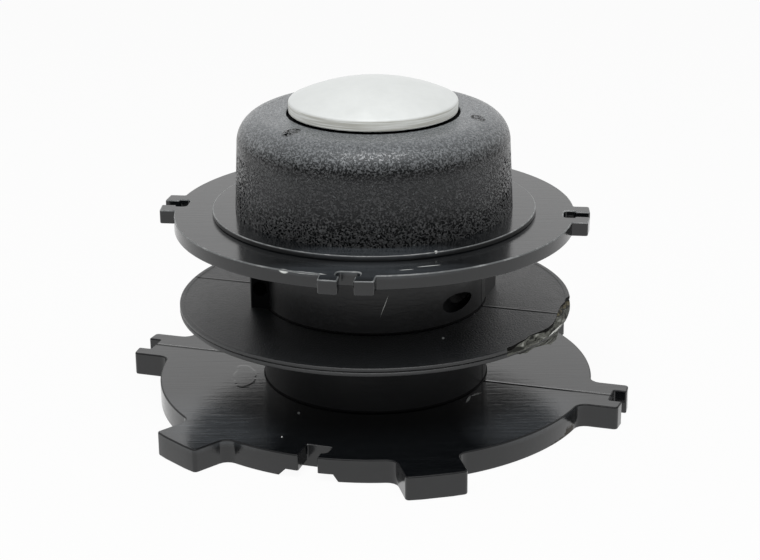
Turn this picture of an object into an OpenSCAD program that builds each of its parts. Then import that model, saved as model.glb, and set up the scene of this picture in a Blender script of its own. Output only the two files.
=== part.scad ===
// Spool of a two-line bump-feed trimmer head, with its bump knob and wear disc.
// The axis of the spool is Z. The spool stands on its toothed flange at z = 0, with the knob on top.

/* [Toothed flange] */
// Radius of the toothed flange between its teeth
base_r = 42.3; // [41:0.1:44]
// Thickness of the toothed flange
base_t = 4.6; // [4:0.1:5.5]
// Number of ratchet teeth
tooth_count = 6; // [6:1:6]
// Radius at the tips of the teeth
tooth_tip_r = 49.7; // [48:0.1:52]
// Width of a tooth, between its parallel flanks
tooth_w = 11.3; // [9:0.1:13]
// Radius of the fillet at the root of a tooth
tooth_root_fillet = 1.4; // [0.5:0.1:1.8]
// Radius of the rounded corners at the tip of a tooth
tooth_tip_round = 0.7; // [0.3:0.1:1]
// Width of the notch in the two split teeth
tooth_notch_w = 5.0; // [4:0.1:6]
// Depth of the notch in the two split teeth
tooth_notch_depth = 2.6; // [1.5:0.1:4]

/* [Winding channels] */
// Height of the lower winding channel
lower_channel_h = 14.0; // [12:0.1:16]
// Height of the upper winding channel
upper_channel_h = 14.9; // [13:0.1:16]
// Outer radius of the drum in the lower channel
lower_drum_r = 21.75; // [21.5:0.05:22.5]
// Outer radius of the drum in the upper channel
upper_drum_r = 21.4; // [21:0.05:21.7]
// Inner radius of the drum
drum_bore_r = 19.0; // [18:0.1:19.5]
// Radius of the fillet where the drum meets a flange
drum_fillet = 0.8; // [0.4:0.1:1.2]

/* [Middle flange] */
// Radius of the middle flange over its beaded rim
middle_r = 37.85; // [36:0.05:39]
// Thickness of the beaded rim
middle_t = 1.6; // [1.4:0.1:2]
// Thickness of the web inside the rim
middle_web_t = 1.4; // [1.1:0.1:1.6]

/* [Upper flange] */
// Radius of the upper flange between its lugs
upper_r = 38.25; // [37:0.05:39]
// Thickness of the upper flange
upper_t = 2.7; // [2.2:0.1:3.2]
// Radius at the outer ends of the lugs
lug_tip_r = 41.2; // [40:0.1:43]
// Width over the two lugs of a pair
lug_pair_w = 10.0; // [9:0.1:11]
// Width of the slot between the two lugs, where the line is clipped
line_slot_w = 2.8; // [2.4:0.1:3.2]
// Width of the wider head of that slot
slot_head_w = 4.3; // [3.4:0.1:5]
// Radius at the closed end of that slot
slot_end_r = 36.2; // [35.5:0.1:37]
// Radius of the opening in the deck that closes the drum
deck_opening_r = 13.0; // [12.5:0.1:14]

/* [Line passages] */
// Radius of a passage, a little over the line's
passage_r = 1.5; // [1.2:0.05:1.5]
// Distance of a passage from the spool's axis
passage_offset = 18.9; // [18.7:0.05:19]
// Height of a passage above the flange below it
passage_h = 3.8; // [3:0.1:8]
// Distance of the outer side of a passage's boss from the spool's axis
boss_side = 21.0; // [20.8:0.05:21.2]
// Distance of the blunt end of a boss from the spool's axis
boss_end = 12.9; // [12:0.1:13.5]

/* [Bump knob] */
// Radius of the step flange under the knob
step_r = 30.9; // [29:0.1:32]
// Thickness of the step flange
step_t = 1.0; // [0.8:0.1:1.4]
// Outer radius of the knob at its foot
knob_foot_r = 26.5; // [25.5:0.1:27.5]
// Outer radius of the knob where its shoulder begins
knob_shoulder_r = 25.9; // [25.9:0.1:26.5]
// Radius of the rounded shoulder
shoulder_radius = 5.4; // [4.6:0.1:6.4]
// Height of the knob above the step flange, to the top of the shoulder
knob_h = 18.15; // [17:0.05:19]
// Thickness of the knob's wall
knob_wall = 2.3; // [2:0.1:2.8]
// Radius of the bore that runs on the head's post
guide_bore_r = 6.5; // [5:0.1:7]
// Outer radius of the guide tube
guide_tube_r = 9.0; // [8.5:0.1:9.5]
// Height of the lower end of the guide tube
guide_tube_foot = 5.0; // [2:0.5:10]
// Number of ribs inside the knob
knob_ribs = 4; // [4:4:8]

/* [Wear disc] */
// Radius of the wear disc
disc_r = 16.0; // [15:0.1:16.5]
// Height of the disc's rim, from its seat
disc_rim_h = 3.35; // [2.5:0.05:4]
// Height of the dome above the rim
dome_h = 3.65; // [2.5:0.05:4.5]
// Height of the foot that carries the disc's rim clear of the knob
disc_foot_h = 1.2; // [1:0.1:1.8]
// How far the foot stands in from the rim
disc_foot_inset = 2.5; // [1:0.1:4]
// Depth of the disc's seat in the knob
seat_depth = 1.0; // [0.5:0.1:1.5]
// Radius of the spigot pressed into the knob
spigot_r = 4.0; // [3:0.1:5]
// Length of the spigot
spigot_len = 4.8; // [3:0.1:5]

/* [Hidden] */
$fn = 96;
black_nylon = "#26282a";
black_textured = "#202224";
pale_metal = "#cfcfca";

// The mould's side cores meet along this direction, and the teeth and passages are set out from it
parting_turn = -17.5;
// The lug pairs stand a little further round
lug_turn = 10.5;

// Heights of the stack
base_top = base_t;
middle_bottom = base_top + lower_channel_h;
middle_top = middle_bottom + middle_t;
upper_bottom = middle_top + upper_channel_h;
upper_top = upper_bottom + upper_t;
step_top = upper_top + step_t;
shoulder_top = step_top + knob_h;
shoulder_centre_z = shoulder_top - shoulder_radius;
shoulder_centre_r = knob_shoulder_r - shoulder_radius;
knob_crown_rise = 0.15;
seat_floor = shoulder_top + knob_crown_rise - seat_depth;
seat_clearance = 0.35;
guide_bore_top = seat_floor - spigot_len - 1.8;

// Small sizes that the moulding repeats
past = 1;
edge_round = 0.3;
bead_r = 0.42;
lug_head_len = 2.2;
lug_corner_r = 0.4;
// Retaining notches in the toothed flange, undercut on one side, with a relief below
notch_mouth_w = 3.6;
notch_undercut = 1.2;
notch_shift = 0.5;
notch_end_r = 37.3;
notch_head_len = 2.9;
relief_left = -5.2;
relief_right = 6.2;
relief_h = 1.5;
relief_r = 36.8;
// Cored pockets under the toothed flange
pocket_in_r = 24.4;
pocket_out_r = 35.6;
pocket_depth = 2.0;
pocket_rib_w = 1.4;
pocket_ribs = 12;
// Inner edge of the torn stretch of the middle flange's rim, as angle and radius
scar_edge = [
    [-33.5, 37.9], [-32.5, 37.1], [-30.5, 37.1], [-26, 36.5], [-23.5, 36.5], [-20.5, 36.1], [-16, 36.6],
    [-12, 37.1], [-8.5, 37], [-4, 36.6], [0.5, 36.2], [6.5, 36.2], [10, 36.8], [13, 37], [15.5, 37.9]
];
scar_out_r = middle_r + 2;
scar_slope_r = 35.8;
scar_foot = 0.3;
// Lower edge of the shred that hangs from there, as angle and hanging depth
shred_edge = [
    [-30, 0.1], [-27, 0.6], [-24, 0.9], [-21, 0.6], [-18, 0.9], [-14, 1.4], [-11, 2.1],
    [-7.5, 2.3], [-4.5, 1.8], [-4, 0.4], [0, 0.1]
];
shred_mid = -15;
shred_t = 0.7;
// Snap legs that hold the knob in the deck
snap_count = 4;
snap_sweep = 34;
snap_t = 1.7;
snap_hook = 1.1;
snap_hook_h = 1.8;
snap_lip = 0.5;
snap_fit = 0.05;
rib_t = 1.4;

// A fillet between a straight flank at y = flank and a rim of radius rim, both to the inside
module root_fillet(rim, flank, f) {
    cy = flank + f;
    cx = sqrt(pow(rim + f, 2) - cy * cy);
    k = rim / (rim + f);
    difference() {
        polygon([[cx, flank - 0.5], [cx, cy], [cx * k, cy * k], [cx * k - 0.5, flank - 0.5]]);
        translate([cx, cy]) circle(f);
    }
}

// What a rounding takes off the corner between a flank at y = flank and the circle of radius tip_r
module tip_corner(tip_r, flank, f) {
    cy = flank - f;
    cx = sqrt(pow(tip_r - f, 2) - cy * cy);
    k = (tip_r + past) / (tip_r - f);
    difference() {
        polygon([[cx, cy], [cx, flank + past], [tip_r + past, flank + past], [cx * k, cy * k]]);
        translate([cx, cy]) circle(f);
    }
}

// A radial bar from the rim out to tip_r, its end on the tip circle, with filleted roots and rounded ends
module radial_bar(rim, tip_r, w, f, tip_f) {
    difference() {
        intersection() {
            circle(tip_r);
            translate([rim - 3, -w / 2]) square([tip_r - rim + 4, w]);
        }
        tip_corner(tip_r, w / 2, tip_f);
        mirror([0, 1]) tip_corner(tip_r, w / 2, tip_f);
    }
    root_fillet(rim, w / 2, f);
    mirror([0, 1]) root_fillet(rim, w / 2, f);
}

// A slot that runs in from the rim and widens at its closed end
module headed_slot(end_r, mouth_w, head_w, head_len, out_r) {
    corner = head_w / 5;
    translate([end_r + corner, -head_w / 2]) square([head_len - corner, head_w]);
    translate([end_r, -head_w / 2 + corner]) square([head_len, head_w - 2 * corner]);
    for (side = [-1, 1]) translate([end_r + corner, side * (head_w / 2 - corner)]) circle(corner);
    translate([end_r + corner, -mouth_w / 2]) square([out_r - end_r, mouth_w]);
}

// The notch's head runs sideways behind the rim, with a rounded end
module retaining_notch() {
    translate([notch_end_r, notch_shift - notch_mouth_w / 2]) {
        square([base_r - notch_end_r, notch_mouth_w]);
        square([notch_head_len - notch_undercut, notch_mouth_w + notch_undercut]);
        translate([notch_head_len - notch_undercut, notch_mouth_w]) circle(notch_undercut);
    }
}

module base_outline() {
    difference() {
        union() {
            circle(base_r, $fn = 180);
            for (k = [0 : tooth_count - 1]) rotate(k * 360 / tooth_count) {
                radial_bar(base_r, tooth_tip_r, tooth_w, tooth_root_fillet, tooth_tip_round);
            }
        }
        // The two teeth on the parting line are split by a notch
        for (a = [0, 180]) rotate(a) {
            translate([tooth_tip_r - tooth_notch_depth, -tooth_notch_w / 2]) square([5, tooth_notch_w]);
        }
        for (a = [90, 270]) rotate(a) retaining_notch();
    }
}

module toothed_flange() {
    difference() {
        linear_extrude(base_t) base_outline();
        // Relief under each retaining notch, with slanted ends
        for (a = [90, 270]) rotate([0, 0, a]) translate([relief_r, 0, 0]) rotate([90, 0, 90]) {
            linear_extrude(base_r) polygon([
                [relief_left, -past], [relief_left, 0], [relief_left + relief_h, relief_h],
                [relief_right - past, relief_h], [relief_right, 0], [relief_right, -past]
            ]);
        }
        // Cored pockets between radial ribs keep the thick flange from sinking
        difference() {
            rotate_extrude() translate([pocket_in_r, -past]) {
                square([pocket_out_r - pocket_in_r, pocket_depth + past]);
            }
            for (k = [0 : pocket_ribs - 1]) rotate([0, 0, (k + 0.5) * 360 / pocket_ribs]) {
                translate([pocket_in_r - past, -pocket_rib_w / 2, -2 * past]) {
                    cube([pocket_out_r - pocket_in_r + 2 * past, pocket_rib_w, pocket_depth + 4 * past]);
                }
            }
        }
    }
}

// Section of the middle flange: a thin web that ends in two beads, one above the other
module middle_section() {
    translate([drum_bore_r + 1, (middle_t - middle_web_t) / 2]) {
        square([middle_r - bead_r - drum_bore_r - 1, middle_web_t]);
    }
    for (z = [bead_r, middle_t - bead_r]) translate([middle_r - bead_r, z]) circle(bead_r);
    translate([middle_r - 2 * bead_r, bead_r]) square([bead_r * 1.6, middle_t - 2 * bead_r]);
}

// What is torn off the middle flange's rim: all above a slope, outside a ragged edge
module rim_scar() {
    edge = [for (p = scar_edge) [p[1] * cos(p[0]), p[1] * sin(p[0])]];
    first = scar_edge[0][0];
    last = scar_edge[len(scar_edge) - 1][0];
    step = (last - first) / 4;
    beyond = [for (a = [last : -step : first - step / 2]) scar_out_r * [cos(a), sin(a)]];
    intersection() {
        translate([0, 0, middle_bottom]) linear_extrude(middle_t + past) polygon(concat(edge, beyond));
        rotate_extrude($fn = 180) polygon([
            [scar_slope_r, middle_top], [middle_r + 0.1, middle_bottom + scar_foot],
            [scar_out_r + past, middle_bottom + scar_foot], [scar_out_r + past, middle_top + past],
            [scar_slope_r, middle_top + past]
        ]);
    }
}

// The shred is a strip of the rim's skin, bent down
module rim_shred() {
    low = [for (p = shred_edge) [middle_r * sin(p[0] - shred_mid), -p[1]]];
    hidden_edge = [for (k = [len(low) - 1, 0]) [low[k][0], middle_t / 3]];
    intersection() {
        rotate([0, 0, shred_mid]) translate([0, 0, middle_bottom]) rotate([90, 0, 90]) {
            linear_extrude(middle_r) polygon(concat(low, hidden_edge));
        }
        rotate_extrude($fn = 180) translate([middle_r - bead_r - shred_t, base_top]) {
            square([shred_t, lower_channel_h + middle_t]);
        }
    }
}

module upper_outline() {
    difference() {
        union() {
            circle(upper_r, $fn = 180);
            for (k = [0 : 3]) rotate(lug_turn + 90 * k) {
                radial_bar(upper_r, lug_tip_r, lug_pair_w, edge_round, lug_corner_r);
            }
        }
        for (k = [0 : 3]) rotate(lug_turn + 90 * k) {
            headed_slot(slot_end_r, line_slot_w, slot_head_w, lug_head_len, lug_tip_r);
        }
        circle(deck_opening_r);
    }
}

// A concave fillet in a section, from a corner that opens towards +X and +Y
module section_fillet(f) {
    difference() {
        translate([-0.2, -0.2]) square(f + 0.2);
        translate([f, f]) circle(f);
    }
}

module drum_section() {
    web_step = (middle_t - middle_web_t) / 2;
    translate([drum_bore_r, 0]) square([lower_drum_r - drum_bore_r, middle_bottom + middle_t / 2]);
    translate([drum_bore_r, middle_bottom]) {
        square([upper_drum_r - drum_bore_r, middle_t + upper_channel_h + upper_t / 2]);
    }
    translate([lower_drum_r, base_top]) section_fillet(drum_fillet);
    translate([lower_drum_r, middle_bottom + web_step]) mirror([0, 1]) section_fillet(drum_fillet / 2);
    translate([upper_drum_r, middle_top - web_step]) section_fillet(drum_fillet);
    translate([upper_drum_r, upper_bottom]) mirror([0, 1]) section_fillet(drum_fillet / 2);
}

// The wall bulges out beside each passage and ends in a blunt face, where the line leaves
module passage_boss() {
    inner = drum_bore_r - 2;
    translate([inner, 1, middle_top - middle_t / 2]) {
        linear_extrude(upper_channel_h + middle_t / 2 + 0.2) {
            square([boss_side - inner - edge_round, boss_end - 1]);
            square([boss_side - inner, boss_end - 1 - edge_round]);
            translate([boss_side - inner - edge_round, boss_end - 1 - edge_round]) circle(edge_round);
        }
    }
}

module passage(length) {
    rotate([-90, 0, 0]) cylinder(r = passage_r, h = length);
}

// Drum, three flanges, teeth and lugs are one moulding
module spool_body() {
    color(black_nylon) rotate([0, 0, parting_turn]) {
        difference() {
            union() {
                toothed_flange();
                rotate_extrude($fn = 180) translate([0, middle_bottom]) middle_section();
                translate([0, 0, upper_bottom]) linear_extrude(upper_t) upper_outline();
                rotate_extrude() drum_section();
                for (a = [0, 180]) rotate([0, 0, a]) passage_boss();
            }
            translate([0, 0, -past]) cylinder(r = drum_bore_r, h = upper_bottom + past);
            // Two passages run straight past the drum's bore in the upper channel
            for (a = [0, 180]) rotate([0, 0, a]) {
                translate([passage_offset, -upper_drum_r, middle_top + passage_h]) {
                    passage(2 * upper_drum_r);
                }
            }
            // One hole at the back anchors the line of the lower channel
            translate([-passage_offset, 0, base_top + passage_h]) passage(lower_drum_r);
            rim_scar();
        }
        rim_shred();
    }
}

// Section through the knob's shell, from its foot to the edge of the disc's seat
module knob_outer_section(inset) {
    foot = knob_foot_r - inset;
    shoulder = knob_shoulder_r - inset;
    top = shoulder_top - inset;
    translate([shoulder_centre_r, shoulder_centre_z]) circle(shoulder_radius - inset);
    polygon([
        [0, upper_top], [foot, upper_top], [foot, step_top], [shoulder, shoulder_centre_z],
        [shoulder_centre_r, shoulder_centre_z], [shoulder_centre_r, top],
        [disc_r + seat_clearance, top + knob_crown_rise], [0, top + knob_crown_rise]
    ]);
}

module step_section() {
    square([step_r - edge_round, step_t]);
    square([step_r, step_t - edge_round]);
    translate([step_r - edge_round, step_t - edge_round]) circle(edge_round);
}

module knob_shell() {
    difference() {
        rotate_extrude($fn = 180) {
            knob_outer_section(0);
            translate([0, upper_top]) step_section();
        }
        rotate_extrude() difference() {
            knob_outer_section(knob_wall);
            translate([-past, 0]) square([guide_tube_r + past, shoulder_top + past]);
        }
        // Seat of the wear disc and the socket of its spigot
        translate([0, 0, seat_floor]) cylinder(r = disc_r + seat_clearance, h = 2 * past, $fn = 180);
        translate([0, 0, seat_floor - spigot_len]) cylinder(r = spigot_r, h = spigot_len + past);
        translate([0, 0, upper_top - past]) cylinder(r = guide_bore_r, h = guide_bore_top - upper_top + past);
    }
}

module guide_tube() {
    length = upper_top + past - guide_tube_foot;
    translate([0, 0, guide_tube_foot]) difference() {
        cylinder(r = guide_tube_r, h = length);
        translate([0, 0, -past]) cylinder(r = guide_bore_r, h = length + 2 * past);
    }
}

module knob_ribs_inside() {
    reach = knob_shoulder_r - knob_wall / 2;
    intersection() {
        for (k = [0 : knob_ribs - 1]) rotate([0, 0, k * 360 / knob_ribs]) {
            translate([guide_tube_r - 0.5, -rib_t / 2, upper_top]) {
                cube([reach - guide_tube_r, rib_t, shoulder_top - upper_top]);
            }
        }
        rotate_extrude() knob_outer_section(knob_wall / 2);
    }
}

// A springy leg through the deck, with a hook under it
module snap_leg() {
    r_out = deck_opening_r - snap_fit;
    rotate([0, 0, -snap_sweep / 2]) rotate_extrude(angle = snap_sweep) {
        translate([r_out - snap_t, upper_bottom - snap_hook_h]) square([snap_t, upper_t + snap_hook_h + 5]);
        polygon([
            [r_out - 0.1, upper_bottom - snap_hook_h], [r_out, upper_bottom - snap_hook_h],
            [r_out + snap_hook, upper_bottom - snap_fit - snap_lip],
            [r_out + snap_hook, upper_bottom - snap_fit],
            [r_out - 0.1, upper_bottom - snap_fit]
        ]);
    }
}

module bump_knob() {
    color(black_textured) rotate([0, 0, parting_turn]) {
        knob_shell();
        guide_tube();
        knob_ribs_inside();
        for (k = [0 : snap_count - 1]) rotate([0, 0, k * 360 / snap_count]) snap_leg();
    }
}

// A low spherical dome on a plain rim, over a narrower foot and a spigot
module wear_disc() {
    rim_top = seat_floor + disc_rim_h;
    dome_radius = (disc_r * disc_r + dome_h * dome_h) / (2 * dome_h);
    foot_r = disc_r - disc_foot_inset;
    color(pale_metal) union() {
        rotate_extrude($fn = 180) intersection() {
            translate([0, seat_floor + disc_foot_h]) square([disc_r, disc_rim_h + dome_h]);
            translate([0, rim_top + dome_h - dome_radius]) circle(dome_radius, $fn = 360);
        }
        translate([0, 0, seat_floor]) cylinder(r = foot_r, h = disc_rim_h - past, $fn = 180);
        translate([0, 0, seat_floor - spigot_len]) cylinder(r = spigot_r, h = spigot_len + disc_rim_h / 2);
    }
}

spool_body();
bump_knob();
wear_disc();
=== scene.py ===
import math
import bpy
import bmesh
from mathutils import Matrix, Vector, noise


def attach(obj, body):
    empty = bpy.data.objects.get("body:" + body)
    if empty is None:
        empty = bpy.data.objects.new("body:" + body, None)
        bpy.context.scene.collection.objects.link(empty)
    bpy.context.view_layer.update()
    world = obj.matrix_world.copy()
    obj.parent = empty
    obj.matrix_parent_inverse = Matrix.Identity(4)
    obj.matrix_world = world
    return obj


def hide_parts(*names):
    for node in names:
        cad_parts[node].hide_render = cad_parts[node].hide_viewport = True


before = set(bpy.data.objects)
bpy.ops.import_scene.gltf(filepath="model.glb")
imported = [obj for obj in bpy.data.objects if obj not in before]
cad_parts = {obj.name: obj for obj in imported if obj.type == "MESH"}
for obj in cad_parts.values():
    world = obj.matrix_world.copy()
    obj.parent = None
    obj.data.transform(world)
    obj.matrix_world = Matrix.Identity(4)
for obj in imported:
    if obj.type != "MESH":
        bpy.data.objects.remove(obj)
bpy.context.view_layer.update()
scene = bpy.context.scene
print("frame loaded")

# Shapes are drawn in millimetres and become metres once, when a piece is finished.
mm = 0.001
# The mould's side cores meet along this direction; teeth and passages are set out from it.
partingTurn = math.radians(-17.5)


# drawing helpers

def polar(radius, degrees):
    return radius * math.cos(math.radians(degrees)), radius * math.sin(math.radians(degrees))


def turnCorners(corners, degrees):
    c, s = polar(1, degrees)
    return [(x * c - y * s, x * s + y * c, rounding) for x, y, rounding in corners]


def drawPlate(corners, low, high, topEdge, bottomEdge):
    # a flat outline with rounded corners, pulled up into a plate with softened edges
    bm = bmesh.new()
    ring = [bm.verts.new((x, y, low)) for x, y, rounding in corners]
    for a, b in zip(ring, ring[1:] + ring[:1]):
        bm.edges.new((a, b))
    for vert, (x, y, rounding) in zip(ring, corners):
        if rounding:
            bmesh.ops.bevel(bm, geom=[vert], affect="VERTICES", offset=rounding, segments=4, profile=0.5, material=-1)
    bmesh.ops.contextual_create(bm, geom=bm.edges[:])
    pulled = bmesh.ops.extrude_face_region(bm, geom=bm.faces[:])["geom"]
    bmesh.ops.translate(bm, vec=(0, 0, high - low), verts=[g for g in pulled if isinstance(g, bmesh.types.BMVert)])
    bmesh.ops.recalc_face_normals(bm, faces=bm.faces)
    for level, width in ((high, topEdge), (low, bottomEdge)):
        rim = [e for e in bm.edges if all(abs(v.co.z - level) < 1e-4 for v in e.verts)]
        bmesh.ops.bevel(bm, geom=rim, affect="EDGES", offset=width, segments=2, profile=0.5, material=-1)
    return bm


def spinProfile(bm, points, roundings, steps=192, closed=True):
    # a section in the XZ plane, turned once round Z, its ring edges rounded where a corner has a radius
    ring = [bm.verts.new((r, 0, z)) for r, z in points]
    pairs = list(zip(ring, ring[1:] + ring[:1])) if closed else list(zip(ring, ring[1:]))
    edges = [bm.edges.new(pair) for pair in pairs]
    bmesh.ops.spin(bm, geom=ring + edges, cent=(0, 0, 0), axis=(0, 0, 1), dvec=(0, 0, 0), angle=2 * math.pi,
                   steps=steps, use_merge=True, use_normal_flip=False, use_duplicate=False)
    bmesh.ops.remove_doubles(bm, verts=bm.verts, dist=1e-4)
    bmesh.ops.recalc_face_normals(bm, faces=bm.faces)
    for (r, z), (radius, segments) in roundings.items():
        corner = [e for e in bm.edges if all(abs(math.hypot(v.co.x, v.co.y) - r) < 1e-3 and abs(v.co.z - z) < 1e-3
                                             for v in e.verts)]
        bmesh.ops.bevel(bm, geom=corner, affect="EDGES", offset=radius, segments=segments, profile=0.5, material=-1)


def addBlock(bm, low, high, turn=0.0):
    # a box between two corners, turned about Z
    made = bmesh.ops.create_cube(bm, size=1)["verts"]
    size = [b - a for a, b in zip(low, high)]
    bmesh.ops.scale(bm, vec=size, verts=made)
    bmesh.ops.translate(bm, vec=[(a + b) / 2 for a, b in zip(low, high)], verts=made)
    bmesh.ops.rotate(bm, cent=(0, 0, 0), matrix=Matrix.Rotation(turn, 3, "Z"), verts=made)
    return made


def addRod(bm, radius, start, end, segments=64):
    start, end = Vector(start), Vector(end)
    length = (end - start).length
    made = bmesh.ops.create_cone(bm, cap_ends=True, segments=segments, radius1=radius, radius2=radius, depth=length)["verts"]
    turn = (end - start).to_track_quat("Z", "Y").to_matrix()
    bmesh.ops.rotate(bm, cent=(0, 0, 0), matrix=turn, verts=made)
    bmesh.ops.translate(bm, vec=(start + end) / 2, verts=made)
    return made


def addSweptFace(bm, points, startAngle, sweep, steps):
    # a section turned part of the way round Z, closed at both ends
    ring = [bm.verts.new((r, 0, z)) for r, z in points]
    bmesh.ops.rotate(bm, cent=(0, 0, 0), matrix=Matrix.Rotation(startAngle, 3, "Z"), verts=ring)
    face = bm.faces.new(ring)
    made = bmesh.ops.spin(bm, geom=[face] + list(face.edges) + ring, cent=(0, 0, 0), axis=(0, 0, 1), dvec=(0, 0, 0),
                          angle=sweep, steps=steps, use_merge=False, use_normal_flip=False, use_duplicate=False)
    bmesh.ops.recalc_face_normals(bm, faces=bm.faces)
    return made


def makeObject(name, bm, *materials):
    mesh = bpy.data.meshes.new(name)
    bm.to_mesh(mesh)
    bm.free()
    obj = bpy.data.objects.new(name, mesh)
    scene.collection.objects.link(obj)
    for material in materials:
        mesh.materials.append(material)
    return obj


def carve(obj, *steps):
    # joins or cuts with other objects, one after the other, and takes those away
    for operation, tool in steps:
        change = obj.modifiers.new(tool.name, "BOOLEAN")
        change.operation, change.object, change.solver = operation, tool, "MANIFOLD"
        change.material_mode = "TRANSFER"
    graph = bpy.context.evaluated_depsgraph_get()
    result = bpy.data.meshes.new_from_object(obj.evaluated_get(graph), preserve_all_data_layers=True, depsgraph=graph)
    obj.modifiers.clear()
    obj.data = result
    for operation, tool in steps:
        bpy.data.objects.remove(tool)


def clearNeedles(mesh):
    # cuts leave a few needle faces far thinner than a hair, which no eye or printer needs
    bm = bmesh.new()
    bm.from_mesh(mesh)
    bmesh.ops.dissolve_degenerate(bm, dist=0.0005, edges=bm.edges)
    bm.to_mesh(mesh)
    bm.free()


def sharpenRims(mesh, material):
    # the rim of a hole stays crisp where the hole runs out at a shallow angle
    cut, whole = set(), set()
    for polygon in mesh.polygons:
        group = cut if mesh.materials[polygon.material_index] == material else whole
        group.update(polygon.edge_keys)
    for edge in mesh.edges:
        if edge.key in cut and edge.key in whole:
            edge.use_edge_sharp = True


def finishPiece(obj, body, turn=0.0, cutMaterial=None):
    # into metres and into place, shaded smooth except across sharp edges, and on its body
    obj.data.transform(Matrix.Rotation(turn, 4, "Z") @ Matrix.Scale(mm, 4))
    obj.data.shade_smooth()
    obj.data.set_sharp_from_angle(angle=math.radians(50))
    if cutMaterial:
        sharpenRims(obj.data, cutMaterial)
    flat = obj.modifiers.new("flat_faces_stay_flat", "WEIGHTED_NORMAL")
    flat.keep_sharp = True
    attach(obj, body)
    return obj


# materials

def linear(hexColour):
    # sRGB hex to the linear colour that the shaders use
    parts = [int(hexColour[i:i + 2], 16) / 255 for i in (1, 3, 5)]
    return [p / 12.92 if p <= 0.04045 else ((p + 0.055) / 1.055) ** 2.4 for p in parts] + [1]


def addNode(tree, kind, settings=None, links=None):
    node = tree.nodes.new(kind)
    for key, value in (settings or {}).items():
        if isinstance(key, int) or (isinstance(key, str) and key in node.inputs):
            node.inputs[key].default_value = value
        else:
            setattr(node, key, value)
    for key, source in (links or {}).items():
        tree.links.new(source, node.inputs[key])
    return node


def newMaterial(name):
    material = bpy.data.materials.new(name)
    material.use_nodes = True
    tree = material.node_tree
    tree.nodes.clear()
    place = addNode(tree, "ShaderNodeTexCoord").outputs["Object"]
    return material, tree, place


def finishMaterial(tree, shader):
    addNode(tree, "ShaderNodeOutputMaterial", links={"Surface": shader.outputs["BSDF"]})


# Nylon 6 with carbon black, moulded against polished steel: near-black and glossy, with faint flow marks,
# smears and hair scratches from handling, and a ridge of flash where the mould's halves met.
glossyNylon = {"colour": "#0e1012", "scuffed": "#1a1c1e", "rubbedAndSheen": "#43474b", "scratchedAndHighlight": "#eceeec", "dirt": "#332b1f", "roughness": 0.13, "roughnessScuffed": 0.22,
               "ior": 1.56, "flowSize": 9.0, "scuffSize": 2.2, "smearLength": 9.0, "smearWidth": 0.6, "smearHeight": 0.026,
               "flashWidth": 0.55, "flashHeight": 0.16, "flashCore": 0.16, "flashTop": 35.0}


def spotMask(tree, place, spots):
    # one in the middle of each spot and nothing outside it: a spot is a centre, half sizes and two turns in degrees
    found = None
    for centre, halfSizes, tilt, turn in spots:
        own = addNode(tree, "ShaderNodeMapping", {"vector_type": "TEXTURE", "Location": [c * mm for c in centre],
                                                  "Rotation": (0, math.radians(tilt), math.radians(turn)),
                                                  "Scale": [h * mm for h in halfSizes]}, {"Vector": place})
        ball = addNode(tree, "ShaderNodeTexGradient", {"gradient_type": "SPHERICAL"}, {"Vector": own.outputs["Vector"]})
        if found is None:
            found = ball.outputs["Fac"]
        else:
            found = addNode(tree, "ShaderNodeMath", {"operation": "MAXIMUM"}, {0: found, 1: ball.outputs["Fac"]}).outputs["Value"]
    return found


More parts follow.
